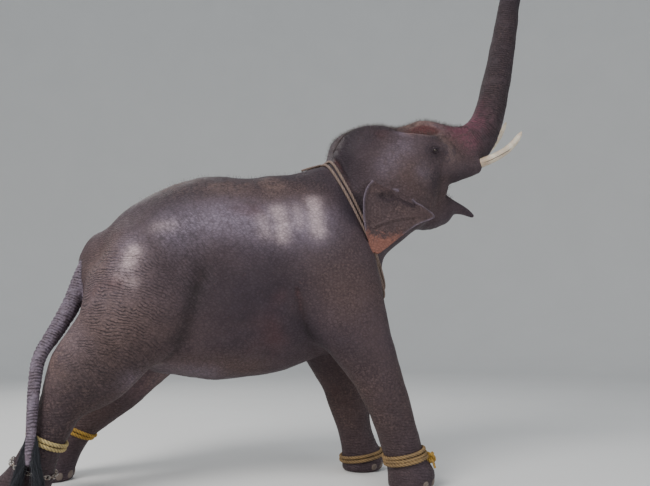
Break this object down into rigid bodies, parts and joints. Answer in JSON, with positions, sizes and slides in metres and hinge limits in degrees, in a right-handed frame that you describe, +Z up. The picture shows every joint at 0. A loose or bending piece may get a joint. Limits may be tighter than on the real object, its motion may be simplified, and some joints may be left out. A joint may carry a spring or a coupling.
{
  "type": "asian elephant",
  "caption": "Life-size still model of a standing Asian elephant with its trunk raised and its mouth open, wearing neck ropes, leg ropes and an ankle chain.",
  "frame": {"origin": "on the floor, under the middle of the animal's bounding box", "axes": "+X towards the head, +Y towards the animal's left, +Z up"},
  "size_m": [4.5937, 1.2116, 5.0594],
  "materials": {
    "hide": "thick grey-brown skin, finely wrinkled, dusty and matt",
    "trunk_hide": "ringed skin with pinkish pale patches at its root",
    "ivory": "worn cream ivory with a long dark crack",
    "eye": "moist dark brown eyeball",
    "tail_hair": "coarse black bristles",
    "tan_rope": "pale twisted cotton rope",
    "yellow_rope": "yellow twisted plastic-fibre rope, dusty",
    "chain_steel": "worn galvanised steel"
  },
  "bodies": {
    "root": {"torso": "hide", "neck": "hide", "head": "hide", "lower_jaw": "hide", "tail": "hide", "trunk_base": "trunk_hide", "trunk_middle": "trunk_hide", "trunk_tip": "trunk_hide", "foreleg_right": "hide", "forefoot_right": "hide", "hindleg_right": "hide", "hindfoot_right": "hide", "ear_right": "hide", "eye_right": "eye", "tusk_right": "ivory", "foreleg_right_rope": "yellow_rope", "hindleg_right_rope": "yellow_rope", "foreleg_left": "hide", "forefoot_left": "hide", "hindleg_left": "hide", "hindfoot_left": "hide", "ear_left": "hide", "eye_left": "eye", "tusk_left": "ivory", "foreleg_left_rope": "yellow_rope", "hindleg_left_rope": "yellow_rope", "tail_tuft": "tail_hair", "neck_rope_rear": "tan_rope", "neck_rope_front": "tan_rope", "ankle_chain": "chain_steel"}
  },
  "joints": []
}
